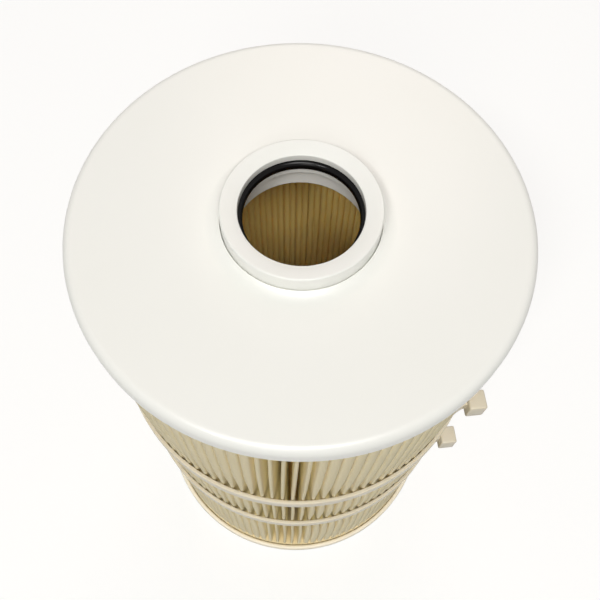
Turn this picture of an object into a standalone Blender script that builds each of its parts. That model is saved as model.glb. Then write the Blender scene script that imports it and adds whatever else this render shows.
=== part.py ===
"""Pleated vacuum filter cartridge, standing upright.

A moulded white plate closes the top of a ring of pleated paper. A collar in its middle holds an O-ring
that seals on the suction tube. A shallow pan closes the foot, and two nylon ties hold the folds in.
Units are metres, +Z is up, and the origin is the middle of the foot. The tie heads lie towards +X.
"""

import cmath
import math

import bmesh
import bpy

# Play between pieces that touch, and flats in a full turn
FIT = 0.0003
TURN_STEPS = 60

# Bottom pan and its resin: the lip stands a little above the foot of the pleats
PAN_WALL = 0.003
PAN_FLOOR = 0.003
PAN_EDGE = 0.0008
PAN_OVERLAP = 0.0007
FOOT_RESIN_DEPTH = 0.0037

# Pleated paper ring
PLEAT_COUNT = 112
PLEAT_LENGTH = 0.301
PLEAT_RADIUS = 0.09635
HOLLOW_MARGIN = 0.0242
PAPER = 0.0007
FOLD_SHARE = 0.50

# How much narrower the folds stand at the foot than at the head, and the play left round them in the pan
TAPER = 0.0037
FOOT_MARGIN = 0.0022

# Top plate and its resin: the rim reaches a little below the head of the pleats
PLATE_THICKNESS = 0.003
RIM_WALL = 0.003
RIM_OVERLAP = 0.0005
RIM_ROUNDING = 0.0045
RIM_EDGE = 0.0006
SWELL_RUN = 0.0067
SWELL_RISE = 0.002
HEAD_RESIN_DEPTH = 0.0061

# Collar, with the O-ring's groove between its lip and its web
BORE_RADIUS = 0.0265
COLLAR_WALL = 0.0075
COLLAR_RISE = 0.0098
COLLAR_BEVEL = 0.0006
FACE_DROP = 0.002
LIP_HEIGHT = 0.0036
LIP_EDGE = 0.0004
WEB = 0.0018
SPIGOT_WALL = 0.0035
SPIGOT_LENGTH = 0.0016
SEAL_SECTION = 0.005
SEAL_PROUD = 0.0019

# Neck under the plate, with a shoulder outside the collar's seat
NECK_SHOULDER = 0.0015
NECK_DEPTH = 0.0185

# Nylon ties
STRAP_WIDTH = 0.009
STRAP_THICKNESS = 0.002
STRAP_EDGE = 0.0005
UPPER_TIE_HEIGHT = 0.1955
LOWER_TIE_HEIGHT = 0.120
HEAD_WIDTH = 0.0138
HEAD_LENGTH = 0.0108
HEAD_DEPTH = 0.0098
HEAD_BEVEL = 0.001
HEAD_DIRECTION = math.radians(-22.0)

# Each head stands askew and clear of the folds, between the strap's fixed end and its rising tail
HEAD_TILT = math.radians(30.0)
HEAD_REACH = 0.010
TAIL_WIDTH = 0.0076
TAIL_THICKNESS = 0.0016
TAIL_START = math.radians(8.5)
TAIL_STEPS = 5
FIXED_END_INSET = 0.0004

# Heights over the floor that follow from the sizes above
FOOT_RESIN_TOP = PAN_FLOOR + FIT + FOOT_RESIN_DEPTH
PLEAT_BOTTOM = FOOT_RESIN_TOP + FIT
PAN_HEIGHT = PLEAT_BOTTOM + PAN_OVERLAP
PLEAT_TOP = PLEAT_BOTTOM + PLEAT_LENGTH
PLATE_TOP = PLEAT_TOP + FIT + HEAD_RESIN_DEPTH + FIT + PLATE_THICKNESS

# The ring widens evenly from the foot, and each tie takes its size from the folds at its upper edge
UPPER_GATHER = TAPER * (PLEAT_TOP - UPPER_TIE_HEIGHT - STRAP_WIDTH / 2) / PLEAT_LENGTH
LOWER_GATHER = TAPER * (PLEAT_TOP - LOWER_TIE_HEIGHT - STRAP_WIDTH / 2) / PLEAT_LENGTH

# Heights over the plate's flat that follow from the sizes above
RIM_BOTTOM = PLEAT_TOP - PLATE_TOP - RIM_OVERLAP
MOUTH = COLLAR_RISE - FACE_DROP
GROOVE_TOP = MOUTH - LIP_HEIGHT
GROOVE_BOTTOM = GROOVE_TOP - SEAL_SECTION - 2 * FIT
FLANGE_BOTTOM = GROOVE_BOTTOM - WEB
SPIGOT_BOTTOM = FLANGE_BOTTOM - SPIGOT_LENGTH
SEAT_FLOOR = FLANGE_BOTTOM - FIT

# Radii that follow from the sizes above: each ring outside the folds clears the paper by the play,
# and the inner folds stand back from the neck by the margin
RING_CLEARANCE = PAPER / 2 + FIT
RIM_INSIDE = PLEAT_RADIUS + RING_CLEARANCE
PLATE_RADIUS = RIM_INSIDE + RIM_WALL
PAN_INSIDE = PLEAT_RADIUS - TAPER + FOOT_MARGIN + RING_CLEARANCE
PAN_RADIUS = PAN_INSIDE + PAN_WALL
UPPER_TIE_INSIDE = PLEAT_RADIUS - UPPER_GATHER + RING_CLEARANCE
LOWER_TIE_INSIDE = PLEAT_RADIUS - LOWER_GATHER + RING_CLEARANCE
COLLAR_RADIUS = BORE_RADIUS + COLLAR_WALL
SEAT_RADIUS = COLLAR_RADIUS + FIT
SPIGOT_RADIUS = BORE_RADIUS + SPIGOT_WALL
NECK_RADIUS = SPIGOT_RADIUS + FIT
NECK_OUTSIDE = SEAT_RADIUS + NECK_SHOULDER
HOLLOW_RADIUS = NECK_OUTSIDE + HOLLOW_MARGIN
SEAL_BORE = BORE_RADIUS - SEAL_PROUD
GROOVE_RADIUS = SEAL_BORE + SEAL_SECTION + FIT


def material(name, colour, roughness):
    """Plain Principled material in linear colour."""
    made = bpy.data.materials.new(name)
    made.use_nodes = True
    shader = made.node_tree.nodes["Principled BSDF"]
    shader.inputs["Base Color"].default_value = (*colour, 1.0)
    shader.inputs["Roughness"].default_value = roughness
    made.diffuse_color = (*colour, 1.0)
    return made


def arc(centre_r, centre_z, radius, start, end, steps):
    """Points of an arc in the turning plane, with angles in degrees from +X towards +Z."""
    points = []
    for step in range(steps + 1):
        angle = math.radians(start + (end - start) * step / steps)
        points.append((centre_r + radius * math.cos(angle), centre_z + radius * math.sin(angle)))
    return points


def add_object(name, mesh, height, parts, root, finish):
    """Object standing on the cartridge's axis at a height."""
    mesh.materials.append(finish)
    made = bpy.data.objects.new(name, mesh)
    made.location.z = height
    made.parent = root
    parts.objects.link(made)
    return made


def turned(name, profile, closed, height, parts, root, finish):
    """Round piece: a profile of (radius, height) points, turned about the axis.

    The profile runs down the outer side. A closed one makes a ring, an open one ends on the axis.
    """
    edges = [(index, index + 1) for index in range(len(profile) - 1)]
    if closed:
        edges.append((len(profile) - 1, 0))
    mesh = bpy.data.meshes.new(name)
    mesh.from_pydata([(radius, 0.0, z) for radius, z in profile], edges, [])
    made = add_object(name, mesh, height, parts, root, finish)
    screw = made.modifiers.new("turn", "SCREW")
    screw.axis = "Z"
    screw.steps = TURN_STEPS
    screw.render_steps = TURN_STEPS
    screw.use_merge_vertices = True
    screw.merge_threshold = 0.00001
    return made


def bottom_pan(parts, root):
    """Shallow pan under the pleats, with a flat floor and a rounded lip."""
    outside = PAN_RADIUS - PAN_EDGE
    profile = [(0.0, PAN_FLOOR), (PAN_INSIDE, PAN_FLOOR)]
    profile += [(PAN_INSIDE, PAN_HEIGHT - PAN_EDGE), (PAN_INSIDE + PAN_EDGE, PAN_HEIGHT)]
    profile += arc(outside, PAN_HEIGHT - PAN_EDGE, PAN_EDGE, 90, 0, 1)
    profile += arc(outside, PAN_EDGE, PAN_EDGE, 0, -90, 1)
    profile.append((0.0, 0.0))
    finish = material("pan_plastic", (0.90, 0.84, 0.72), 0.45)
    return turned("bottom_cap", profile, False, 0.0, parts, root, finish)


def foot_resin(parts, root):
    """Disc of set resin that fills the pan up to the pleats."""
    radius = PAN_INSIDE - FIT
    profile = [(0.0, FOOT_RESIN_DEPTH), (radius, FOOT_RESIN_DEPTH), (radius, 0.0), (0.0, 0.0)]
    finish = material("foot_resin", (0.74, 0.66, 0.48), 0.5)
    return turned("bottom_potting", profile, False, PAN_FLOOR + FIT, parts, root, finish)


def pleat_points(height, fold_radius):
    """Middle line of the paper at one level: each pleat has an outer fold and then an inner one."""
    pitch = 2 * math.pi / PLEAT_COUNT
    half_fold = pitch * FOLD_SHARE / 2
    points = []
    for pleat in range(PLEAT_COUNT):
        outer = pleat * pitch
        inner = outer + pitch / 2
        corners = [
            (fold_radius, outer - half_fold),
            (fold_radius, outer + half_fold),
            (HOLLOW_RADIUS, inner - half_fold),
            (HOLLOW_RADIUS, inner + half_fold),
        ]
        points += [(radius * math.cos(turn), radius * math.sin(turn), height) for radius, turn in corners]
    return points


def pleated_paper(parts, root):
    """One sheet folded into a closed ring: a lofted zigzag surface with the paper's thickness."""
    foot = pleat_points(0.0, PLEAT_RADIUS - TAPER)
    head = pleat_points(PLEAT_LENGTH, PLEAT_RADIUS)
    around = len(foot)
    faces = []
    for index in range(around):
        after = (index + 1) % around
        faces.append((index, after, around + after, around + index))
    mesh = bpy.data.meshes.new("pleated_media")
    mesh.from_pydata(foot + head, [], faces)
    finish = material("filter_paper", (0.56, 0.44, 0.22), 0.85)
    made = add_object("pleated_media", mesh, PLEAT_BOTTOM, parts, root, finish)
    split = made.modifiers.new("flat faces", "TRIANGULATE")
    split.quad_method = "FIXED"
    wall = made.modifiers.new("paper", "SOLIDIFY")
    wall.thickness = PAPER
    wall.offset = 0.0
    wall.use_even_offset = True
    return made


def top_plate(parts, root):
    """Round plate with a turned-down rim, a swelling round the collar's seat and a neck below it."""
    swell_foot = SEAT_RADIUS + SWELL_RUN
    swell_curve = (SWELL_RUN**2 + SWELL_RISE**2) / (2 * SWELL_RISE)
    swell_angle = math.degrees(math.asin(SWELL_RUN / swell_curve))
    rounding_r = PLATE_RADIUS - RIM_ROUNDING
    profile = arc(swell_foot, swell_curve, swell_curve, -90 - swell_angle, -90, 3)
    profile += arc(rounding_r, -RIM_ROUNDING, RIM_ROUNDING, 90, 0, 3)
    profile += [(PLATE_RADIUS, RIM_BOTTOM + RIM_EDGE), (PLATE_RADIUS - RIM_EDGE, RIM_BOTTOM)]
    profile += [(RIM_INSIDE, RIM_BOTTOM), (RIM_INSIDE, -PLATE_THICKNESS)]
    profile += [(NECK_OUTSIDE, -PLATE_THICKNESS), (NECK_OUTSIDE, -NECK_DEPTH)]
    profile += [(NECK_RADIUS, -NECK_DEPTH), (NECK_RADIUS, SEAT_FLOOR), (SEAT_RADIUS, SEAT_FLOOR)]
    finish = material("plate_plastic", (0.90, 0.88, 0.84), 0.25)
    return turned("top_cap", profile, True, PLATE_TOP, parts, root, finish)


def head_resin(parts, root):
    """Ring of set resin under the plate, between the neck and the rim, that holds the pleats."""
    inside = NECK_OUTSIDE + FIT
    outside = RIM_INSIDE - FIT
    top = -PLATE_THICKNESS - FIT
    bottom = top - HEAD_RESIN_DEPTH
    profile = [(inside, top), (outside, top), (outside, bottom), (inside, bottom)]
    finish = material("head_resin", (0.74, 0.66, 0.48), 0.5)
    return turned("top_potting", profile, True, PLATE_TOP, parts, root, finish)


def seal_collar(parts, root):
    """Raised collar in the plate's seat, with a face that falls to the bore and a groove inside."""
    profile = [(BORE_RADIUS, MOUTH - LIP_EDGE), (BORE_RADIUS + LIP_EDGE, MOUTH)]
    profile += [(COLLAR_RADIUS - COLLAR_BEVEL, COLLAR_RISE), (COLLAR_RADIUS, COLLAR_RISE - COLLAR_BEVEL)]
    profile += [(COLLAR_RADIUS, FLANGE_BOTTOM), (SPIGOT_RADIUS, FLANGE_BOTTOM)]
    profile += [(SPIGOT_RADIUS, SPIGOT_BOTTOM), (BORE_RADIUS, SPIGOT_BOTTOM)]
    profile += [(BORE_RADIUS, GROOVE_BOTTOM), (GROOVE_RADIUS, GROOVE_BOTTOM)]
    profile += [(GROOVE_RADIUS, GROOVE_TOP), (BORE_RADIUS, GROOVE_TOP)]
    finish = material("collar_plastic", (0.92, 0.92, 0.88), 0.3)
    return turned("seal_collar", profile, True, PLATE_TOP, parts, root, finish)


def seal_ring(parts, root):
    """O-ring lying in the collar's groove, a little proud of the bore."""
    section = SEAL_SECTION / 2
    middle = GROOVE_TOP - FIT - section
    profile = arc(SEAL_BORE + section, 0.0, section, 90, -270, 10)[:-1]
    finish = material("seal_rubber", (0.012, 0.011, 0.010), 0.35)
    return turned("o_ring", profile, True, PLATE_TOP + middle, parts, root, finish)


def add_cutter(name, mesh, cutters, root):
    """Object that shapes another one and isn't a piece by itself."""
    made = bpy.data.objects.new(name, mesh)
    made.parent = root
    made.hide_render = True
    made.display_type = "WIRE"
    cutters.objects.link(made)
    return made


def tie_head(name, inside, height, cutters, root):
    """Block that locks the strap, standing out from the ring of pleats."""
    mesh = bpy.data.meshes.new(name)
    shape = bmesh.new()
    bmesh.ops.create_cube(shape, size=1.0)
    bmesh.ops.scale(shape, vec=(HEAD_DEPTH, HEAD_LENGTH, HEAD_WIDTH), verts=shape.verts)
    shape.to_mesh(mesh)
    shape.free()
    head = add_cutter(name, mesh, cutters, root)
    middle = cmath.rect(inside + HEAD_REACH, HEAD_DIRECTION)
    head.location = (middle.real, middle.imag, height)
    head.rotation_euler.z = HEAD_DIRECTION + HEAD_TILT
    edges = head.modifiers.new("chamfer", "BEVEL")
    edges.width = HEAD_BEVEL
    edges.segments = 1
    return head


def fixed_end_line(inside):
    """Plan of the strap's fixed end, from inside the head straight on to the middle of the strap."""
    outwards = cmath.rect(1.0, HEAD_DIRECTION + HEAD_TILT)
    onwards = outwards * 1j
    first = cmath.rect(inside + HEAD_REACH, HEAD_DIRECTION)
    first += outwards * ((TAIL_THICKNESS - HEAD_DEPTH) / 2 + FIXED_END_INSET)
    closing = (first * onwards.conjugate()).real
    excess = abs(first) ** 2 - (inside + STRAP_THICKNESS / 2) ** 2
    run = -closing - math.sqrt(closing**2 - excess)
    return [first, first + onwards * run]


def tail_line(inside):
    """Plan of the strap's tail, which leaves the ring and bends out into the head's slot."""
    start = cmath.rect(inside + STRAP_THICKNESS / 2, HEAD_DIRECTION - TAIL_START)
    onwards = cmath.rect(1.0, HEAD_DIRECTION - TAIL_START + math.pi / 2)
    outwards = cmath.rect(1.0, HEAD_DIRECTION + HEAD_TILT)
    end = cmath.rect(inside + HEAD_REACH, HEAD_DIRECTION)
    run = ((end - start).conjugate() * outwards).imag / (onwards.conjugate() * outwards).imag
    bend = start + onwards * run
    line = []
    for step in range(TAIL_STEPS + 1):
        share = step / TAIL_STEPS
        line.append((1 - share) ** 2 * start + 2 * share * (1 - share) * bend + share**2 * end)
    return line


def strap_piece(name, line, height, cutters, root):
    """Length of flat strap that follows a line in plan."""
    sides = []
    for index, point in enumerate(line):
        ahead = line[min(index + 1, len(line) - 1)] - line[max(index - 1, 0)]
        across = ahead / abs(ahead) * 1j * TAIL_THICKNESS / 2
        sides.append((point + across, point - across))
    outline = [left for left, _ in sides] + [right for _, right in reversed(sides)]
    mesh = bpy.data.meshes.new(name)
    shape = bmesh.new()
    low = height - TAIL_WIDTH / 2
    floor = shape.faces.new([shape.verts.new((point.real, point.imag, low)) for point in outline])
    raised = bmesh.ops.extrude_face_region(shape, geom=[floor])["geom"]
    lifted = [item for item in raised if isinstance(item, bmesh.types.BMVert)]
    bmesh.ops.translate(shape, vec=(0.0, 0.0, TAIL_WIDTH), verts=lifted)
    bmesh.ops.recalc_face_normals(shape, faces=shape.faces)
    shape.to_mesh(mesh)
    shape.free()
    return add_cutter(name, mesh, cutters, root)


def tie(name, inside, height, parts, cutters, root):
    """Nylon strap drawn tight round the folds, moulded in one piece with its head."""
    top = STRAP_WIDTH / 2
    outside = inside + STRAP_THICKNESS
    profile = [(inside, top), (outside - STRAP_EDGE, top), (outside, top - STRAP_EDGE)]
    profile += [(outside, STRAP_EDGE - top), (outside - STRAP_EDGE, -top), (inside, -top)]
    finish = material(name + "_nylon", (0.78, 0.70, 0.52), 0.4)
    strap = turned(name, profile, True, height, parts, root, finish)
    for added in (
        tie_head(name + "_head", inside, height, cutters, root),
        strap_piece(name + "_fixed_end", fixed_end_line(inside), height, cutters, root),
        strap_piece(name + "_tail", tail_line(inside), height, cutters, root),
    ):
        joined = strap.modifiers.new(added.name, "BOOLEAN")
        joined.operation = "UNION"
        joined.solver = "EXACT"
        joined.object = added
    return strap


def build():
    """The whole cartridge, piece by piece from the foot up."""
    for old in list(bpy.data.objects):
        bpy.data.objects.remove(old)
    parts = bpy.data.collections.new("vacuum_filter")
    cutters = bpy.data.collections.new("cutters")
    bpy.context.scene.collection.children.link(parts)
    bpy.context.scene.collection.children.link(cutters)
    root = bpy.data.objects.new("cartridge", None)
    parts.objects.link(root)
    bottom_pan(parts, root)
    foot_resin(parts, root)
    pleated_paper(parts, root)
    tie("tie_lower", LOWER_TIE_INSIDE, LOWER_TIE_HEIGHT, parts, cutters, root)
    tie("tie_upper", UPPER_TIE_INSIDE, UPPER_TIE_HEIGHT, parts, cutters, root)
    head_resin(parts, root)
    top_plate(parts, root)
    seal_collar(parts, root)
    seal_ring(parts, root)


build()
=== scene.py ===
"""Looks of the pleated vacuum filter cartridge, from the foot up.

Metres, +Z up, with the foot on the floor and the heads of the ties towards +X.
"""

import math

import bmesh
import bpy
from mathutils import Matrix, Vector


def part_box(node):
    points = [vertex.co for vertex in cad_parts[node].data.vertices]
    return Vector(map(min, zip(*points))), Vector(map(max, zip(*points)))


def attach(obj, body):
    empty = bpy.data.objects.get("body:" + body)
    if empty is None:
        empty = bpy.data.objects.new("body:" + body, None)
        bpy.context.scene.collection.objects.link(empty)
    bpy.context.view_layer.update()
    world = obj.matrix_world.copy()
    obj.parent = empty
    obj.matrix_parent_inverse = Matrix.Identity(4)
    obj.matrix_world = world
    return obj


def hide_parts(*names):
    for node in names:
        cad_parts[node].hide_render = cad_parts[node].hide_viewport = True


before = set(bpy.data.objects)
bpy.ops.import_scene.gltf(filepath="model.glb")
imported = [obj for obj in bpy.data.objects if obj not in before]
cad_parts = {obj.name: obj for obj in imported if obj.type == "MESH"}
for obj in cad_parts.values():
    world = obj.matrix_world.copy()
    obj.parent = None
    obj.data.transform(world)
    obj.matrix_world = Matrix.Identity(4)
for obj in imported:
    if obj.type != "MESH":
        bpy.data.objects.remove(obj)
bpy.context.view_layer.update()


# Bottom pan. A shallow tray, injection moulded in cream polypropylene with a rounded lip.
# The pleats stand in it, potted in resin, and the cartridge stands on its flat underside.

PAN_RADIUS = 0.0985
PAN_HEIGHT = 0.008
PAN_WALL = 0.003
PAN_INNER_CORNER = 0.0012
PAN_LIP_CORNER = 0.0013
PAN_FOOT_CORNER = 0.0011
PAN_CREAM = "#FAF2DF"
PAN_CREAM_DEEP = "#F3E8CF"
STEPS_AROUND = 240
CORNER_STEPS = 5
SAME_POINT = 1e-6
SHARP_EDGE = 60
GLOSS_CHANGE = 0.05


def linear(code):
    """Linear RGBA of an sRGB hex colour."""
    srgb = [int(code[start : start + 2], 16) / 255 for start in (1, 3, 5)]
    rgb = [c / 12.92 if c <= 0.04045 else ((c + 0.055) / 1.055) ** 2.4 for c in srgb]
    return (*rgb, 1.0)


def add_node(tree, kind, sockets=None, out=None, **settings):
    """Adds a node and returns one of its outputs, by default the first in use.

    A socket is named by its identifier and takes a constant, or an output to link from.
    """
    made = tree.nodes.new(kind)
    for name, value in settings.items():
        setattr(made, name, value)
    ends = {end.identifier: end for end in made.inputs}
    for key, value in (sockets or {}).items():
        if isinstance(value, bpy.types.NodeSocket):
            tree.links.new(value, ends[key])
        else:
            ends[key].default_value = value
    if out:
        return made.outputs[out]
    return next((end for end in made.outputs if end.enabled), None)


def new_material(name, roughness, ior=1.5):
    """Material with one Principled shader: (material, its tree, the shader)."""
    made = bpy.data.materials.new(name)
    made.use_nodes = True
    shader = made.node_tree.nodes["Principled BSDF"]
    shader.inputs["Roughness"].default_value = roughness
    shader.inputs["IOR"].default_value = ior
    return made, made.node_tree, shader


def moulded(name, pale, deep, roughness, ior, flow_mm, grain_mm, grain_depth):
    """Moulded plastic or rubber: faint flow marks in the colour and a fine texture in the skin."""
    made, tree, shader = new_material(name, roughness, ior)
    place = add_node(tree, "ShaderNodeTexCoord", out="Object")
    flow = add_node(
        tree,
        "ShaderNodeTexNoise",
        {"Vector": place, "Scale": 1000 / flow_mm, "Detail": 2.0},
    )
    tint = add_node(
        tree,
        "ShaderNodeMix",
        {"Factor_Float": flow, "A_Color": linear(pale), "B_Color": linear(deep)},
        data_type="RGBA",
    )
    tree.links.new(tint, shader.inputs["Base Color"])
    gloss = add_node(
        tree,
        "ShaderNodeMapRange",
        {
            "Value": flow,
            "To Min": roughness - GLOSS_CHANGE,
            "To Max": roughness + GLOSS_CHANGE,
        },
    )
    tree.links.new(gloss, shader.inputs["Roughness"])
    grain = add_node(
        tree,
        "ShaderNodeTexNoise",
        {"Vector": place, "Scale": 1000 / grain_mm, "Detail": 3.0},
    )
    skin = add_node(tree, "ShaderNodeBump", {"Height": grain, "Distance": grain_depth})
    tree.links.new(skin, shader.inputs["Normal"])
    return made


def rounded(corners, steps=CORNER_STEPS):
    """Profile with rounded corners, each given as (radius from the axis, height, rounding)."""
    points = []
    for index, (r, z, rounding) in enumerate(corners):
        corner = Vector((r, z))
        if rounding == 0.0:
            points.append(corner)
            continue
        before = (Vector(corners[index - 1][:2]) - corner).normalized()
        after = (Vector(corners[(index + 1) % len(corners)][:2]) - corner).normalized()
        half = before.angle(after) / 2
        centre = corner + (before + after).normalized() * rounding / math.sin(half)
        first = corner + before * rounding / math.tan(half) - centre
        last = corner + after * rounding / math.tan(half) - centre
        sweep = math.atan2(first.x * last.y - first.y * last.x, first.dot(last))
        for step in range(steps + 1):
            points.append(centre + Matrix.Rotation(sweep * step / steps, 2) @ first)
    return points


def turned_shape(profile, base, closed=True):
    """Shape of a round piece: (radius, height) points over a base height, turned about the axis."""
    shape = bmesh.new()
    outline = [shape.verts.new((r, 0.0, base + z)) for r, z in profile]
    edges = [shape.edges.new(pair) for pair in zip(outline, outline[1:])]
    if closed:
        edges.append(shape.edges.new((outline[-1], outline[0])))
    bmesh.ops.spin(
        shape,
        geom=outline + edges,
        axis=(0, 0, 1),
        cent=(0, 0, 0),
        angle=2 * math.pi,
        steps=STEPS_AROUND,
    )
    bmesh.ops.remove_doubles(shape, verts=shape.verts, dist=SAME_POINT)
    bmesh.ops.recalc_face_normals(shape, faces=shape.faces)
    return shape


def mesh_of(name, shape):
    """Mesh made from a shape, which is freed."""
    mesh = bpy.data.meshes.new(name)
    shape.to_mesh(mesh)
    shape.free()
    return mesh


def add_piece(name, mesh, finish, sharp=SHARP_EDGE):
    """Object at the origin with one material, smooth but for edges sharper than so many degrees."""
    mesh.shade_smooth()
    mesh.set_sharp_from_angle(angle=math.radians(sharp))
    mesh.materials.clear()
    mesh.materials.append(finish)
    made = bpy.data.objects.new(name, mesh)
    bpy.context.scene.collection.objects.link(made)
    return made


# Moulded polypropylene: satin, with flow marks about 30 mm long and a spark-eroded texture, finer
# than a pixel and so drawn at 0.8 mm.
pan_plastic = moulded(
    "moulded polypropylene, cream",
    PAN_CREAM,
    PAN_CREAM_DEEP,
    roughness=0.45,
    ior=1.49,
    flow_mm=30.0,
    grain_mm=0.8,
    grain_depth=0.00002,
)
pan_inside = PAN_RADIUS - PAN_WALL
pan_profile = rounded(
    [
        (0.0, PAN_WALL, 0.0),
        (pan_inside, PAN_WALL, PAN_INNER_CORNER),
        (pan_inside, PAN_HEIGHT, PAN_LIP_CORNER),
        (PAN_RADIUS, PAN_HEIGHT, PAN_LIP_CORNER),
        (PAN_RADIUS, 0.0, PAN_FOOT_CORNER),
        (0.0, 0.0, 0.0),
    ]
)
pan_shape = turned_shape(pan_profile, 0.0, closed=False)
pan = add_piece("bottom_pan", mesh_of("bottom_pan", pan_shape), pan_plastic)
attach(pan, "root")
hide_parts("bottom_cap")


# Potting resin. Two-part polyurethane, poured into the pan and under the plate, that sets round
# the ends of the paper and seals them. It shows only at the bottom of the hollow and from below.

RESIN = "#E6D8B2"
RESIN_DEEP = "#D8C79A"
RESIN_STREAK_MM = 25.0
RESIN_WAVE = 0.0004

# Cast polyurethane: a level, slightly glossy skin, clouded where it cured in streaks 25 mm wide.
resin, tree, shader = new_material("cast polyurethane resin", roughness=0.32, ior=1.5)
place = add_node(tree, "ShaderNodeTexCoord", out="Object")
streaks = add_node(
    tree,
    "ShaderNodeTexNoise",
    {"Vector": place, "Scale": 1000 / RESIN_STREAK_MM, "Detail": 4.0, "Distortion": 0.8},
)
resin_tint = add_node(
    tree,
    "ShaderNodeMix",
    {"Factor_Float": streaks, "A_Color": linear(RESIN), "B_Color": linear(RESIN_DEEP)},
    data_type="RGBA",
)
tree.links.new(resin_tint, shader.inputs["Base Color"])
cured = add_node(tree, "ShaderNodeBump", {"Height": streaks, "Distance": RESIN_WAVE})
tree.links.new(cured, shader.inputs["Normal"])
for node in ("bottom_potting", "top_potting"):
    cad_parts[node].material_slots[0].material = resin


# Pleated ring. One sheet of resin-bonded cellulose filter paper, scored and folded into 112
# pleats and closed at a seam that faces forward. The ties gather the crowns. Above and below them
# the crowns swell until they almost touch, except beside the seam, where they stay narrow.

PLEATS = 112
PAPER = 0.0007
CROWN_RADIUS = 0.09635
HOLLOW_RADIUS = 0.060
CROWN_HALF = 0.0006
INNER_HALF = 0.00129
LEVELS_PER_SPAN = 12
SAME_FOLD = 0.00002

# How far the crowns are drawn in at each end of a span, how far they bow out between, and the
# height on each side of a tie's middle over which it holds them.
GATHER = {"foot": 0.0019, "lower": 0.0023, "upper": 0.0013, "head": 0.0}
BULGE = 0.0009
TIE_HOLD = 0.005

# How free the crowns are, as shares of a span's length (the reaches) or of the full amount.
OPEN_REACH = 0.34
PAN_SWELL = 0.55
PAN_REACH = 0.14
TIE_REACH = 0.4
MIDDLE_SWELL = 0.7
HELD_SWAY = 0.3

# The most that a free crown widens to each side, leans and strays, and that inner folds bunch.
SWELL = 0.0015
LEAN = 0.0016
WANDER = 0.00012
BUNCH = 0.00006
WANDER_SEED = 7

# The seam, and how far from it the crowns begin to widen and are as wide as elsewhere.
SEAM = math.radians(-93.0)
PARTING_START = math.radians(5.0)
PARTING_END = math.radians(12.0)

# Colours, and the depths where they change: in from the crowns, and out from the hollow, where a
# painted glow deepens it.
PAPER_CREAM = "#FBF0C8"
PAPER_GOLD = "#FAEAB4"
PAPER_CROWN = "#F4E4BC"
PAPER_PAINTED_GLOW = "#FFDC86"
CROWN_TINT_START = 0.006
CROWN_TINT_FULL = 0.002
PAINTED_GLOW_START = 0.020
PAINTED_GLOW_FULL = 0.003
FIBRE_CLOUD_MM = 12.0
FELT_MM = 0.9
FELT_DEPTH = 0.00008
PAPER_THROUGH = 0.5
PAPER_SPREAD = 0.0015

foot, head = [corner.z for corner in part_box("pleated_media")]
lower_tie = sum(corner.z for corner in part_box("tie_lower")) / 2
upper_tie = sum(corner.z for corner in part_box("tie_upper")) / 2
pitch = 2 * math.pi / PLEATS


def ramp(share, rise, fall=0.0):
    """Smooth rise from 0 over the first share of a span, and a smooth fall over the last."""
    up = min(share / rise, 1.0)
    down = min((1 - share) / fall, 1.0) if fall else 1.0
    return up * up * (3 - 2 * up) * down * down * (3 - 2 * down)


def pleat_levels():
    """Levels of one pleat from foot to head: (height, crown radius, swell, sway).

    Swell and sway are 0 where a tie holds the crown and 1 where it is quite free. The pan lets
    the crown swell, but not sway.
    """
    spans = [
        (foot, lower_tie - TIE_HOLD, "foot", "lower"),
        (lower_tie + TIE_HOLD, upper_tie - TIE_HOLD, "lower", "upper"),
        (upper_tie + TIE_HOLD, head, "upper", "head"),
    ]
    levels = []
    for bottom, top, below, above in spans:
        for step in range(LEVELS_PER_SPAN):
            share = (1 - math.cos(math.pi * step / (LEVELS_PER_SPAN - 1))) / 2
            arch = ramp(share, 0.5, 0.5)
            if above == "head":
                swell = ramp(share, OPEN_REACH)
                sway = share
            elif below == "foot":
                over_pan = PAN_SWELL + (1 - PAN_SWELL) * ramp(share, PAN_REACH)
                swell = over_pan * ramp(1 - share, TIE_REACH)
                sway = HELD_SWAY * arch
            else:
                swell = MIDDLE_SWELL * arch
                sway = HELD_SWAY * swell
            gather = GATHER[below] + (GATHER[above] - GATHER[below]) * share
            radius = CROWN_RADIUS - gather + BULGE * math.sin(math.pi * share)
            levels.append((bottom + (top - bottom) * share, radius, swell, sway))
    return levels


def pleat_line(crown_radius):
    """Middle of the paper across one pleat: (angle, radius, side of the crown, nearness to it)."""
    half = []
    for angle in (-90, -45, 0):
        bend = math.radians(angle)
        radius = HOLLOW_RADIUS + INNER_HALF * (1 + math.sin(bend))
        half.append((-pitch / 2 + INNER_HALF * math.cos(bend) / radius, radius, 0.0, 0.0))
    for angle in (180, 135):
        bend = math.radians(angle)
        radius = crown_radius - CROWN_HALF * (1 - math.sin(bend))
        half.append((CROWN_HALF * math.cos(bend) / radius, radius, math.cos(bend), 1.0))
    mirrored = [(-angle, radius, -side, near) for angle, radius, side, near in half[::-1]]
    return half + [(0.0, crown_radius, 0.0, 1.0)] + mirrored


def pleat_sheet():
    """One pleat standing on the +X side.

    Each point knows its side of the crown, its nearness to it, and its swell and sway.
    """
    levels = pleat_levels()
    points = []
    known = {"side": [], "crown": [], "swell": [], "sway": []}
    for height, crown_radius, swell, sway in levels:
        for angle, radius, side, near in pleat_line(crown_radius):
            points.append((radius * math.cos(angle), radius * math.sin(angle), height))
            for name, value in zip(known, (side, near, near * swell, near * sway)):
                known[name].append(value)
    across = len(points) // len(levels)
    faces = []
    for level in range(len(levels) - 1):
        for column in range(across - 1):
            low = level * across + column
            faces.append((low, low + 1, low + across + 1, low + across))
    mesh = bpy.data.meshes.new("pleat")
    mesh.from_pydata(points, [], faces)
    for name, values in known.items():
        mesh.attributes.new(name, "FLOAT", "POINT").data.foreach_set("value", values)
    return mesh
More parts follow.
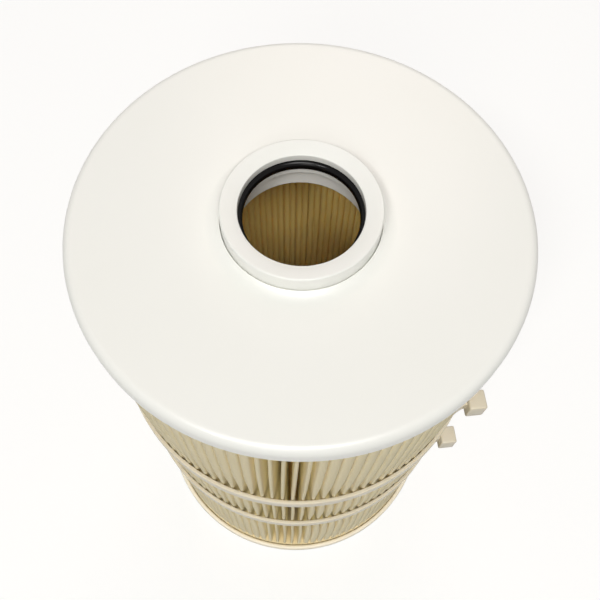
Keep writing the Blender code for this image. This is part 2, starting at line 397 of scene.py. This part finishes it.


# Resin-bonded cellulose paper: matt, with fibre clouds some 12 mm wide and a felted surface, drawn
# at 0.9 mm so that it shows. Light shines through it. Its colour is also painted a deeper gold
# towards the hollow, a painted glow that stands in for light passed through several folds. The
# outer 6 mm, at the crowns, is a little darker and greyer.
paper, tree, shader = new_material(
    "resin-bonded cellulose filter paper", roughness=0.85, ior=1.47
)
place = add_node(tree, "ShaderNodeTexCoord", out="Object")
clouds = add_node(
    tree,
    "ShaderNodeTexNoise",
    {"Vector": place, "Scale": 1000 / FIBRE_CLOUD_MM, "Detail": 5.0},
)
sheet_tint = add_node(
    tree,
    "ShaderNodeMix",
    {
        "Factor_Float": clouds,
        "A_Color": linear(PAPER_CREAM),
        "B_Color": linear(PAPER_GOLD),
    },
    data_type="RGBA",
)
flat_place = add_node(
    tree,
    "ShaderNodeVectorMath",
    {"Vector": place, "Vector_001": (1, 1, 0)},
    operation="MULTIPLY",
)
from_axis = add_node(
    tree, "ShaderNodeVectorMath", {"Vector": flat_place}, out="Value", operation="LENGTH"
)
# Painted glow: the colour turns a deeper gold towards the hollow, standing in for light through the
# folds.
painted_glow_mask = add_node(
    tree,
    "ShaderNodeMapRange",
    {
        "Value": from_axis,
        "From Min": CROWN_RADIUS - PAINTED_GLOW_START,
        "From Max": HOLLOW_RADIUS + PAINTED_GLOW_FULL,
    },
)
painted_glow_tint = add_node(
    tree,
    "ShaderNodeMix",
    {"Factor_Float": painted_glow_mask, "A_Color": sheet_tint, "B_Color": linear(PAPER_PAINTED_GLOW)},
    data_type="RGBA",
)
at_crown = add_node(
    tree,
    "ShaderNodeMapRange",
    {
        "Value": from_axis,
        "From Min": CROWN_RADIUS - CROWN_TINT_START,
        "From Max": CROWN_RADIUS - CROWN_TINT_FULL,
    },
)
crown_tint = add_node(
    tree,
    "ShaderNodeMix",
    {"Factor_Float": at_crown, "A_Color": painted_glow_tint, "B_Color": linear(PAPER_CROWN)},
    data_type="RGBA",
)
tree.links.new(crown_tint, shader.inputs["Base Color"])
fibres = add_node(
    tree, "ShaderNodeTexNoise", {"Vector": place, "Scale": 1000 / FELT_MM, "Detail": 4.0}
)
felt = add_node(tree, "ShaderNodeBump", {"Height": fibres, "Distance": FELT_DEPTH})
tree.links.new(felt, shader.inputs["Normal"])
shader.inputs["Subsurface Weight"].default_value = PAPER_THROUGH
shader.inputs["Subsurface Radius"].default_value = (PAPER_SPREAD,) * 3
shader.inputs["Subsurface Scale"].default_value = 1.0

# The ring: the pleat is repeated round the axis. Its inner folds bunch in pairs, and its crowns
# stray, lean one way and widen as far as they are free to, though hardly at all beside the seam.
ring = bpy.data.node_groups.new("pleat ring", "GeometryNodeTree")
ring_inputs = {
    "Pleats": ("NodeSocketInt", PLEATS),
    "Pitch": ("NodeSocketFloat", pitch),
    "Same fold": ("NodeSocketFloat", SAME_FOLD),
    "Seam": ("NodeSocketFloat", SEAM),
    "Parting start": ("NodeSocketFloat", PARTING_START),
    "Parting end": ("NodeSocketFloat", PARTING_END),
    "Swell": ("NodeSocketFloat", SWELL / CROWN_RADIUS),
    "Lean": ("NodeSocketFloat", LEAN / CROWN_RADIUS),
    "Bunch": ("NodeSocketFloat", BUNCH / HOLLOW_RADIUS),
    "Wander": ("NodeSocketFloat", WANDER / CROWN_RADIUS),
    "Seed": ("NodeSocketInt", WANDER_SEED),
}
ring.interface.new_socket("Pleat", in_out="INPUT", socket_type="NodeSocketGeometry")
for name, (kind, _) in ring_inputs.items():
    ring.interface.new_socket(name, in_out="INPUT", socket_type=kind)
ring.interface.new_socket("Ring", in_out="OUTPUT", socket_type="NodeSocketGeometry")
given = add_node(ring, "NodeGroupInput").node.outputs

standing = add_node(ring, "GeometryNodePoints", {"Count": given["Pleats"]})
number = add_node(ring, "GeometryNodeInputIndex")
turn = add_node(
    ring,
    "ShaderNodeMath",
    {"Value": number, "Value_001": given["Pitch"]},
    operation="MULTIPLY",
)
facing = add_node(ring, "ShaderNodeCombineXYZ", {"Z": turn})
copies = add_node(
    ring,
    "GeometryNodeInstanceOnPoints",
    {"Points": standing, "Instance": given["Pleat"], "Rotation": facing},
)
sheet = add_node(ring, "GeometryNodeRealizeInstances", {"Geometry": copies})
joined = add_node(
    ring, "GeometryNodeMergeByDistance", {"Geometry": sheet, "Distance": given["Same fold"]}
)

position = add_node(ring, "GeometryNodeInputPosition")
side, crown, swell, sway = [
    add_node(ring, "GeometryNodeInputNamedAttribute", {"Name": name}, data_type="FLOAT")
    for name in ("side", "crown", "swell", "sway")
]
along = add_node(ring, "ShaderNodeSeparateXYZ", {"Vector": position}).node.outputs
azimuth = add_node(
    ring,
    "ShaderNodeMath",
    {"Value": along["Y"], "Value_001": along["X"]},
    operation="ARCTAN2",
)
folds = add_node(
    ring,
    "ShaderNodeMath",
    {"Value": azimuth, "Value_001": given["Pitch"]},
    operation="DIVIDE",
)

inner_fold = add_node(ring, "ShaderNodeMath", {"Value": folds}, operation="FLOOR")
odd = add_node(
    ring,
    "ShaderNodeMath",
    {"Value": inner_fold, "Value_001": 2.0},
    operation="FLOORED_MODULO",
)
pair = add_node(ring, "ShaderNodeMapRange", {"Value": odd, "To Min": -1.0, "To Max": 1.0})
inner = add_node(
    ring, "ShaderNodeMath", {"Value": 1.0, "Value_001": crown}, operation="SUBTRACT"
)
paired = add_node(
    ring, "ShaderNodeMath", {"Value": pair, "Value_001": inner}, operation="MULTIPLY"
)
bunched = add_node(
    ring,
    "ShaderNodeMath",
    {"Value": paired, "Value_001": given["Bunch"]},
    operation="MULTIPLY",
)

outer_fold = add_node(ring, "ShaderNodeMath", {"Value": folds}, operation="ROUND")
fold_number = add_node(
    ring,
    "ShaderNodeMath",
    {"Value": outer_fold, "Value_001": given["Pleats"]},
    operation="FLOORED_MODULO",
)
chance = add_node(
    ring,
    "FunctionNodeRandomValue",
    {"Min_001": -1.0, "Max_001": 1.0, "ID": fold_number, "Seed": given["Seed"]},
    data_type="FLOAT",
)
strayed = add_node(
    ring,
    "ShaderNodeMath",
    {"Value": chance, "Value_001": given["Wander"]},
    operation="MULTIPLY",
)
swayed = add_node(
    ring, "ShaderNodeMath", {"Value": strayed, "Value_001": given["Lean"]}, operation="ADD"
)
swung = add_node(
    ring,
    "ShaderNodeMath",
    {"Value": swayed, "Value_001": sway, "Value_002": bunched},
    operation="MULTIPLY_ADD",
)

from_seam = add_node(
    ring,
    "ShaderNodeMath",
    {"Value": azimuth, "Value_001": given["Seam"]},
    operation="SUBTRACT",
)
wrapped = add_node(
    ring,
    "ShaderNodeMath",
    {"Value": from_seam, "Value_001": math.pi, "Value_002": -math.pi},
    operation="WRAP",
)
away = add_node(ring, "ShaderNodeMath", {"Value": wrapped}, operation="ABSOLUTE")
widened = add_node(
    ring,
    "ShaderNodeMapRange",
    {
        "Value": away,
        "From Min": given["Parting start"],
        "From Max": given["Parting end"],
    },
    interpolation_type="SMOOTHSTEP",
)
width = add_node(
    ring,
    "ShaderNodeMath",
    {"Value": widened, "Value_001": given["Swell"]},
    operation="MULTIPLY",
)
sided = add_node(
    ring, "ShaderNodeMath", {"Value": swell, "Value_001": side}, operation="MULTIPLY"
)
free_turn = add_node(
    ring,
    "ShaderNodeMath",
    {"Value": sided, "Value_001": width, "Value_002": swung},
    operation="MULTIPLY_ADD",
)
settled = add_node(
    ring,
    "ShaderNodeVectorRotate",
    {"Vector": position, "Angle": free_turn},
    rotation_type="Z_AXIS",
)
shaped = add_node(ring, "GeometryNodeSetPosition", {"Geometry": joined, "Position": settled})
dressed = add_node(ring, "GeometryNodeSetMaterial", {"Geometry": shaped, "Material": paper})
add_node(ring, "NodeGroupOutput", {ring.interface.items_tree["Ring"].identifier: dressed})

pleat = bpy.data.objects.new("pleat", pleat_sheet())
bpy.context.scene.collection.objects.link(pleat)
repeat = pleat.modifiers.new("ring", "NODES")
repeat.node_group = ring
for name, (_, value) in ring_inputs.items():
    repeat[ring.interface.items_tree[name].identifier] = value
thickness = pleat.modifiers.new("paper", "SOLIDIFY")
thickness.thickness = PAPER
thickness.offset = 0.0
thickness.use_even_offset = True
graph = bpy.context.evaluated_depsgraph_get()
folded = bpy.data.meshes.new_from_object(pleat.evaluated_get(graph))
bpy.data.objects.remove(pleat)
for name in ("side", "crown", "swell", "sway"):
    if name in folded.attributes:
        folded.attributes.remove(folded.attributes[name])
pleated_ring = add_piece("pleated_ring", folded, paper)
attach(pleated_ring, "root")
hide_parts("pleated_media")


# Cable ties. Two natural nylon 66 straps, 9 mm wide, pulled tight round the crowns. Each strap
# passes through a chamfered head, where a pawl locks its teeth, and its tail is cut off short at
# the slot. The head stands askew, so that a small window is left between tail and fixed end.

STRAP_WIDTH = 0.009
STRAP_THICKNESS = 0.002
STRAP_INNER_EDGE = 0.0004
STRAP_OUTER_EDGE = 0.0006
HEAD_WIDTH = 0.0138
HEAD_LENGTH = 0.0108
HEAD_DEPTH = 0.0098
HEAD_CHAMFER = 0.001
HEAD_DIRECTION = math.radians(-22.0)
HEAD_TILT = math.radians(30.0)
HEAD_REACH = 0.010
SLOT_WIDTH = 0.0092
SLOT_LENGTH = 0.0030
SLOT_DEPTH = 0.003
SLOT_CHAMFER = 0.0004
TAIL_WIDTH = 0.0076
TAIL_THICKNESS = 0.0016
TAIL_START = math.radians(8.5)
TAIL_PROUD = 0.0004
TAIL_STEPS = 12
FIXED_END_INSET = 0.0004
TIE_SHARP_EDGE = 30
NYLON = "#DFD6C2"
NYLON_DEEP = "#D5CBB2"
NYLON_THROUGH = 0.25
NYLON_SPREAD = (0.002, 0.0018, 0.0014)

# Moulded nylon 66: waxy and slightly translucent, with flow marks about 12 mm long and a fine
# texture drawn at 0.6 mm.
nylon = moulded(
    "moulded nylon, natural",
    NYLON,
    NYLON_DEEP,
    roughness=0.38,
    ior=1.53,
    flow_mm=12.0,
    grain_mm=0.6,
    grain_depth=0.00003,
)
shader = nylon.node_tree.nodes["Principled BSDF"]
shader.inputs["Subsurface Weight"].default_value = NYLON_THROUGH
shader.inputs["Subsurface Radius"].default_value = NYLON_SPREAD
shader.inputs["Subsurface Scale"].default_value = 1.0


def rounded_block(name, size, middle, chamfer, steps):
    """Box with rounded edges: (radial, round the ring, vertical) size and middle."""
    shape = bmesh.new()
    bmesh.ops.create_cube(shape, size=1.0)
    bmesh.ops.scale(shape, vec=size, verts=shape.verts)
    bmesh.ops.translate(shape, vec=middle, verts=shape.verts)
    bmesh.ops.bevel(
        shape, geom=shape.edges[:], offset=chamfer, segments=steps, profile=0.5, affect="EDGES"
    )
    made = bpy.data.objects.new(name, mesh_of(name, shape))
    bpy.context.scene.collection.objects.link(made)
    return made


def slotted_head(node):
    """Mesh of a tie's head, with the mouth of its slot cut in, round the origin."""
    head_block = rounded_block(
        node + "_head",
        size=(HEAD_DEPTH, HEAD_LENGTH, HEAD_WIDTH),
        middle=(0.0, 0.0, 0.0),
        chamfer=HEAD_CHAMFER,
        steps=3,
    )
    slot = rounded_block(
        node + "_slot",
        size=(SLOT_DEPTH * 2, SLOT_LENGTH, SLOT_WIDTH),
        middle=(HEAD_DEPTH / 2, 0.0, 0.0),
        chamfer=SLOT_CHAMFER,
        steps=2,
    )
    cut = head_block.modifiers.new("slot", "BOOLEAN")
    cut.object = slot
    cut.operation = "DIFFERENCE"
    cut.solver = "EXACT"
    graph = bpy.context.evaluated_depsgraph_get()
    mesh = bpy.data.meshes.new_from_object(head_block.evaluated_get(graph))
    for made in (head_block, slot):
        bpy.data.objects.remove(made)
    return mesh


def strap_length(shape, line, height):
    """Length of flat strap that follows a line in plan, added to a shape."""
    half = TAIL_THICKNESS / 2
    rows = []
    for index, point in enumerate(line):
        ahead = (line[min(index + 1, len(line) - 1)] - line[max(index - 1, 0)]).normalized()
        across = Vector((-ahead.y, ahead.x))
        row = []
        for out, end in ((-half, -1), (-half, 1), (half, 1), (half, -1)):
            corner = point + across * out
            row.append(shape.verts.new((corner.x, corner.y, height + end * TAIL_WIDTH / 2)))
        rows.append(row)
    for low, high in zip(rows, rows[1:]):
        for column in range(4):
            after = (column + 1) % 4
            shape.faces.new((low[column], low[after], high[after], high[column]))
    shape.faces.new(rows[0][::-1])
    shape.faces.new(rows[-1])


def tie(node):
    """Strap, head, fixed end and tail of one tie, in its CAD node's place."""
    low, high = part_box(node)
    height = (low.z + high.z) / 2
    outside = -low.x
    inside = outside - STRAP_THICKNESS
    half = STRAP_WIDTH / 2
    strap = rounded(
        [
            (inside, -half, STRAP_INNER_EDGE),
            (inside, half, STRAP_INNER_EDGE),
            (outside, half, STRAP_OUTER_EDGE),
            (outside, -half, STRAP_OUTER_EDGE),
        ]
    )
    body = turned_shape(strap, height)

    facing = HEAD_DIRECTION + HEAD_TILT
    outwards = Vector((math.cos(facing), math.sin(facing)))
    sideways = Vector((-outwards.y, outwards.x))
    towards_head = Vector((math.cos(HEAD_DIRECTION), math.sin(HEAD_DIRECTION)))
    middle = towards_head * (inside + HEAD_REACH)
    head_mesh = slotted_head(node)
    ends = bmesh.new()
    ends.from_mesh(head_mesh)
    bmesh.ops.rotate(
        ends, cent=(0, 0, 0), matrix=Matrix.Rotation(facing, 3, "Z"), verts=ends.verts
    )
    bmesh.ops.translate(ends, vec=(middle.x, middle.y, height), verts=ends.verts)

    # The fixed end leaves the head's back and runs straight to the middle of the strap.
    strap_middle = inside + STRAP_THICKNESS / 2
    first = middle + outwards * ((TAIL_THICKNESS - HEAD_DEPTH) / 2 + FIXED_END_INSET)
    closing = first.dot(sideways)
    run = -closing - math.sqrt(closing**2 - first.length_squared + strap_middle**2)
    strap_length(ends, [first, first + sideways * run], height)

    # The tail lifts off the strap before the head and bends into its slot.
    lift_off = HEAD_DIRECTION - TAIL_START
    start = Vector((math.cos(lift_off), math.sin(lift_off))) * strap_middle
    onwards = Vector((-start.y, start.x)).normalized()
    gap = middle - start
    bend = start + onwards * (gap.cross(outwards) / onwards.cross(outwards))
    tail = []
    for step in range(TAIL_STEPS + 1):
        s = step / TAIL_STEPS
        tail.append((1 - s) ** 2 * start + 2 * s * (1 - s) * bend + s**2 * middle)
    tail.append(middle + outwards * (HEAD_DEPTH / 2 + TAIL_PROUD))
    strap_length(ends, tail, height)

    ends.to_mesh(head_mesh)
    ends.free()
    body.from_mesh(head_mesh)
    made = add_piece(node + "_nylon", mesh_of(node, body), nylon, sharp=TIE_SHARP_EDGE)
    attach(made, "root")
    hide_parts(node)


for node in ("tie_lower", "tie_upper"):
    tie(node)


# Top plate. One injection moulding in white ABS: a flat disc with a turned-down rim that caps the
# pleats, a swelling that rises to the collar's seat, and a neck below that carries the collar.

PLATE_TOP = 0.318
PLATE_RADIUS = 0.100
PLATE_THICKNESS = 0.003
PLATE_EDGE = 0.0008
RIM_ROUNDING = 0.0045
RIM_INSIDE = 0.097
RIM_DROP = 0.0102
RIM_STEPS = 8
SEAT_RADIUS = 0.0343
SEAT_FLOOR = 0.0035
SEAT_EDGE = 0.0004
SWELLING_RUN = 0.0067
SWELLING_RISE = 0.002
SWELLING_STEPS = 14
NECK_RADIUS = 0.0303
NECK_OUTSIDE = 0.0358
NECK_DEPTH = 0.0185
ABS_WHITE = "#F3F3EE"
ABS_WARM = "#EFEFE8"

# Moulded ABS: white with a warm cast, semi-gloss, with flow marks 90 mm wide and a light orange
# peel drawn at 2.5 mm.
plate_plastic = moulded(
    "moulded ABS, white",
    ABS_WHITE,
    ABS_WARM,
    roughness=0.3,
    ior=1.53,
    flow_mm=90.0,
    grain_mm=2.5,
    grain_depth=0.00002,
)
hollow_radius = (SWELLING_RUN**2 + SWELLING_RISE**2) / (2 * SWELLING_RISE)
hollow_sweep = math.asin(SWELLING_RUN / hollow_radius)
swelling = []
for step in range(SWELLING_STEPS + 1):
    angle = hollow_sweep * (1 - step / SWELLING_STEPS)
    radius = SEAT_RADIUS + SWELLING_RUN - hollow_radius * math.sin(angle)
    height = hollow_radius * (1 - math.cos(angle))
    swelling.append((radius, height, SEAT_EDGE if step == 0 else 0.0))
plate_profile = rounded(
    [
        (SEAT_RADIUS, -SEAT_FLOOR, 0.0),
        *swelling,
        (PLATE_RADIUS, 0.0, RIM_ROUNDING),
        (PLATE_RADIUS, -RIM_DROP, PLATE_EDGE),
        (RIM_INSIDE, -RIM_DROP, PLATE_EDGE),
        (RIM_INSIDE, -PLATE_THICKNESS, 0.0),
        (NECK_OUTSIDE, -PLATE_THICKNESS, 0.0),
        (NECK_OUTSIDE, -NECK_DEPTH, PLATE_EDGE),
        (NECK_RADIUS, -NECK_DEPTH, PLATE_EDGE),
        (NECK_RADIUS, -SEAT_FLOOR, 0.0),
    ],
    steps=RIM_STEPS,
)
plate_shape = turned_shape(plate_profile, PLATE_TOP)
plate = add_piece("top_plate", mesh_of("top_plate", plate_shape), plate_plastic)
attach(plate, "root")
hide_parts("top_cap")


# Seal collar. A white acetal ring, turned on a lathe and bonded into the plate's seat. Its face
# falls to the bore, and a groove inside holds the O-ring between the lip and the web.

BORE_RADIUS = 0.0265
COLLAR_RADIUS = 0.034
COLLAR_RISE = 0.0098
FACE_DROP = 0.002
LIP_HEIGHT = 0.0036
GROOVE_HEIGHT = 0.0056
GROOVE_RADIUS = 0.0299
WEB = 0.0018
SPIGOT_RADIUS = 0.030
SPIGOT_LENGTH = 0.0016
COLLAR_OUTER_EDGE = 0.0008
COLLAR_MOUTH_EDGE = 0.0005
COLLAR_FOOT_EDGE = 0.0004
COLLAR_FINE_EDGE = 0.0003
ACETAL = "#F3F3EE"
ACETAL_GREY = "#EEEEE7"
ACETAL_CLOUD_MM = 18.0
LATHE_RING_MM = 0.7
LATHE_DEPTH = 0.000008

# How far apart, in metres, a wave texture's rings stand at a scale of 1.
RINGS_AT_SCALE_ONE = 2 * math.pi / 20

# Turned acetal: satin white, with lathe rings 0.25 mm apart, drawn at 0.7 mm so that they show.
collar_plastic, tree, shader = new_material("turned acetal, white", roughness=0.34, ior=1.48)
place = add_node(tree, "ShaderNodeTexCoord", out="Object")
smoky = add_node(
    tree,
    "ShaderNodeTexNoise",
    {"Vector": place, "Scale": 1000 / ACETAL_CLOUD_MM, "Detail": 2.0},
)
collar_tint = add_node(
    tree,
    "ShaderNodeMix",
    {"Factor_Float": smoky, "A_Color": linear(ACETAL), "B_Color": linear(ACETAL_GREY)},
    data_type="RGBA",
)
tree.links.new(collar_tint, shader.inputs["Base Color"])
cuts = add_node(
    tree,
    "ShaderNodeTexWave",
    {
        "Vector": place,
        "Scale": RINGS_AT_SCALE_ONE * 1000 / LATHE_RING_MM,
        "Distortion": 0.4,
    },
    wave_type="RINGS",
    rings_direction="Z",
)
tool_marks = add_node(tree, "ShaderNodeBump", {"Height": cuts, "Distance": LATHE_DEPTH})
tree.links.new(tool_marks, shader.inputs["Normal"])
mouth = COLLAR_RISE - FACE_DROP
groove_top = mouth - LIP_HEIGHT
groove_bottom = groove_top - GROOVE_HEIGHT
flange_bottom = groove_bottom - WEB
collar_profile = rounded(
    [
        (BORE_RADIUS, mouth, COLLAR_MOUTH_EDGE),
        (COLLAR_RADIUS, COLLAR_RISE, COLLAR_OUTER_EDGE),
        (COLLAR_RADIUS, flange_bottom, 0.0),
        (SPIGOT_RADIUS, flange_bottom, 0.0),
        (SPIGOT_RADIUS, flange_bottom - SPIGOT_LENGTH, COLLAR_FINE_EDGE),
        (BORE_RADIUS, flange_bottom - SPIGOT_LENGTH, COLLAR_FOOT_EDGE),
        (BORE_RADIUS, groove_bottom, COLLAR_FINE_EDGE),
        (GROOVE_RADIUS, groove_bottom, 0.0),
        (GROOVE_RADIUS, groove_top, 0.0),
        (BORE_RADIUS, groove_top, COLLAR_FINE_EDGE),
    ]
)
collar_shape = turned_shape(collar_profile, PLATE_TOP)
collar = add_piece(
    "seal_collar_ring", mesh_of("seal_collar_ring", collar_shape), collar_plastic
)
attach(collar, "root")
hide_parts("seal_collar")


# O-ring. Moulded nitrile rubber with a 5 mm section, pressed into the collar's groove. It stands
# 1.9 mm into the bore and seals on the suction tube.

SEAL_SECTION = 0.005
SEAL_BORE = 0.0246
SEAL_PLAY = 0.0003
SEAL_STEPS = 32
RUBBER = "#080707"
RUBBER_BLOOM = "#0E0C0B"
RUBBER_SHINE = 0.2

# Moulded nitrile rubber: black, faintly bloomed in patches of 15 mm, with a fine grain drawn at
# 0.7 mm. Its skin is smooth but soft, so its highlights are narrow and weak.
seal_rubber = moulded(
    "moulded nitrile rubber, black",
    RUBBER,
    RUBBER_BLOOM,
    roughness=0.13,
    ior=1.38,
    flow_mm=15.0,
    grain_mm=0.7,
    grain_depth=0.00001,
)
shader = seal_rubber.node_tree.nodes["Principled BSDF"]
shader.inputs["Specular IOR Level"].default_value = RUBBER_SHINE
seal_half = SEAL_SECTION / 2
seal_profile = []
for step in range(SEAL_STEPS):
    angle = 2 * math.pi * step / SEAL_STEPS
    seal_profile.append(
        (SEAL_BORE + seal_half * (1 + math.cos(angle)), seal_half * math.sin(angle))
    )
seal_shape = turned_shape(seal_profile, PLATE_TOP + groove_top - SEAL_PLAY - seal_half)
seal = add_piece("o_ring_seal", mesh_of("o_ring_seal", seal_shape), seal_rubber)
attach(seal, "root")
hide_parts("o_ring")


# Floor and surroundings. A board in matt paint, so wide that no view shows a corner. It throws
# back little light, as a grey one would, but the camera and reflections see it paler and faintly
# glowing, so white, with the cartridge's faint shadow. The room is white to them as well, and adds
# only a little light of its own.

FLOOR_HALF = 20.0
FLOOR_GREY = "#6C6C6A"
FLOOR_PALE = "#B8B8B6"
FLOOR_GLOW = 0.545
ROOM_LIGHT = 0.15
WHITE = "#FFFFFF"

floor_paint, tree, shader = new_material("matt paint, pale grey", roughness=0.9)
rays = add_node(tree, "ShaderNodeLightPath").node.outputs
seen = add_node(
    tree,
    "ShaderNodeMath",
    {"Value": rays["Is Camera Ray"], "Value_001": rays["Is Glossy Ray"]},
    operation="MAXIMUM",
)
paint_tint = add_node(
    tree,
    "ShaderNodeMix",
    {"Factor_Float": seen, "A_Color": linear(FLOOR_GREY), "B_Color": linear(FLOOR_PALE)},
    data_type="RGBA",
)
tree.links.new(paint_tint, shader.inputs["Base Color"])
strength = add_node(
    tree, "ShaderNodeMath", {"Value": seen, "Value_001": FLOOR_GLOW}, operation="MULTIPLY"
)
glow = add_node(tree, "ShaderNodeEmission", {"Color": linear(WHITE), "Strength": strength})
surface = add_node(
    tree, "ShaderNodeAddShader", {"Shader": shader.outputs[0], "Shader_001": glow}
)
tree.links.new(surface, tree.nodes["Material Output"].inputs["Surface"])
floor_shape = bmesh.new()
bmesh.ops.create_grid(floor_shape, x_segments=1, y_segments=1, size=FLOOR_HALF)
floor_mesh = mesh_of("floor", floor_shape)
floor_mesh.materials.append(floor_paint)
floor = bpy.data.objects.new("floor", floor_mesh)
bpy.context.scene.collection.objects.link(floor)

room = bpy.data.worlds.new("pale room")
bpy.context.scene.world = room
room.use_nodes = True
tree = room.node_tree
backdrop = tree.nodes["Background"]
backdrop.inputs["Color"].default_value = linear(WHITE)
rays = add_node(tree, "ShaderNodeLightPath").node.outputs
seen = add_node(
    tree,
    "ShaderNodeMath",
    {"Value": rays["Is Camera Ray"], "Value_001": rays["Is Glossy Ray"]},
    operation="MAXIMUM",
)
strength = add_node(
    tree, "ShaderNodeMapRange", {"Value": seen, "To Min": ROOM_LIGHT, "To Max": 1.0}
)
tree.links.new(strength, backdrop.inputs["Strength"])


# Lamps. A large softbox stands high in front, with weaker ones to its left and right that reach
# the sides of the bore, a low one that reaches into the pleats, and a near one behind that
# brightens the plate's back. Each is aimed at the plate.

SOFTBOXES = [
    # name, compass direction and elevation in degrees, distance, width, power in watts, colour
    ("front softbox", -89.0, 62.0, 5.0, 1.8, 106.1, "#FFFEFC"),
    ("low softbox", -98.0, 36.0, 4.0, 1.2, 18.9, "#FFFDFA"),
    ("left softbox", -121.0, 52.0, 4.0, 0.6, 31.6, WHITE),
    ("right softbox", -71.0, 61.0, 4.0, 1.2, 20.5, WHITE),
    ("back softbox", 84.0, 45.0, 1.4, 0.8, 4.1, "#FFEEE6"),
]

for name, direction, elevation, distance, width, power, colour in SOFTBOXES:
    lamp = bpy.data.lights.new(name, "AREA")
    lamp.shape = "SQUARE"
    lamp.size = width
    lamp.energy = power
    lamp.color = linear(colour)[:3]
    softbox = bpy.data.objects.new(name, lamp)
    compass = math.radians(direction)
    rise = math.radians(elevation)
    offset = Vector(
        (math.cos(compass) * math.cos(rise), math.sin(compass) * math.cos(rise), math.sin(rise))
    )
    softbox.location = Vector((0.0, 0.0, PLATE_TOP)) + offset * distance
    softbox.rotation_euler = (-offset).to_track_quat("-Z", "Y").to_euler()
    bpy.context.scene.collection.objects.link(softbox)


# Camera. It stands over the near side of the cartridge and looks down past the collar.

CAMERA_PLACE = (0.0005, -0.1602, 0.5793)
CAMERA_PITCH = math.radians(64.9)
CAMERA_ROLL = math.radians(1.80)
CAMERA_LENS = 43.56
CAMERA_SENSOR = 36.0
CAMERA_NEAR = 0.01

lens = bpy.data.cameras.new("camera")
lens.lens = CAMERA_LENS
lens.sensor_width = CAMERA_SENSOR
lens.clip_start = CAMERA_NEAR
camera = bpy.data.objects.new("camera", lens)
bpy.context.scene.collection.objects.link(camera)
forward = Vector((0.0, math.cos(CAMERA_PITCH), -math.sin(CAMERA_PITCH)))
level = Vector((1.0, 0.0, 0.0))
above = level.cross(forward)
across = level * math.cos(CAMERA_ROLL) + above * math.sin(CAMERA_ROLL)
upward = above * math.cos(CAMERA_ROLL) - level * math.sin(CAMERA_ROLL)
aim = Matrix((across, upward, -forward)).transposed().to_4x4()
camera.matrix_world = Matrix.Translation(CAMERA_PLACE) @ aim
bpy.context.scene.camera = camera
bpy.context.scene.view_settings.view_transform = "Standard"
